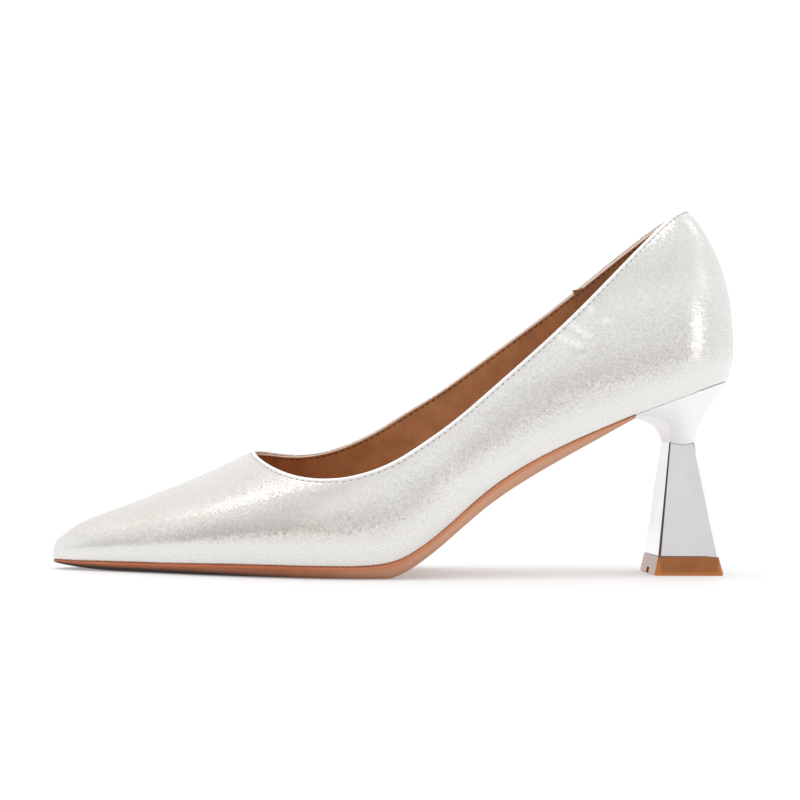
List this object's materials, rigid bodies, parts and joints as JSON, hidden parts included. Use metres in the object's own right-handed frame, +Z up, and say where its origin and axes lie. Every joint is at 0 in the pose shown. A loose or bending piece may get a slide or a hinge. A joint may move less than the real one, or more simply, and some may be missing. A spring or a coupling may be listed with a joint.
{
  "type": "high heel shoe",
  "caption": "Left pointed-toe court shoe with a low-cut silver leather upper, tan sole and flared polished block heel, worn on the foot.",
  "frame": {"origin": "on the floor, under the centre of the shoe's bounding box", "axes": "+X from the heel to the toe, +Y to the outer side of a left foot, +Z up from the floor"},
  "size_m": [0.2374, 0.0786, 0.1277],
  "materials": {
    "silver_leather": "silver shimmer leather with a fine sparkling grain, soft gloss",
    "tan_sole": "tan leather sole, satin, edge waxed with a brighter top lip",
    "brown_lining": "smooth cognac lining leather, low gloss",
    "chrome": "mirror-bright silver plating",
    "tan_tip": "brown moulded heel tip, satin"
  },
  "bodies": {
    "root": {"upper": "silver_leather", "outsole": "tan_sole", "insole": "brown_lining", "heel": "chrome", "top_piece": "tan_tip"}
  },
  "joints": []
}
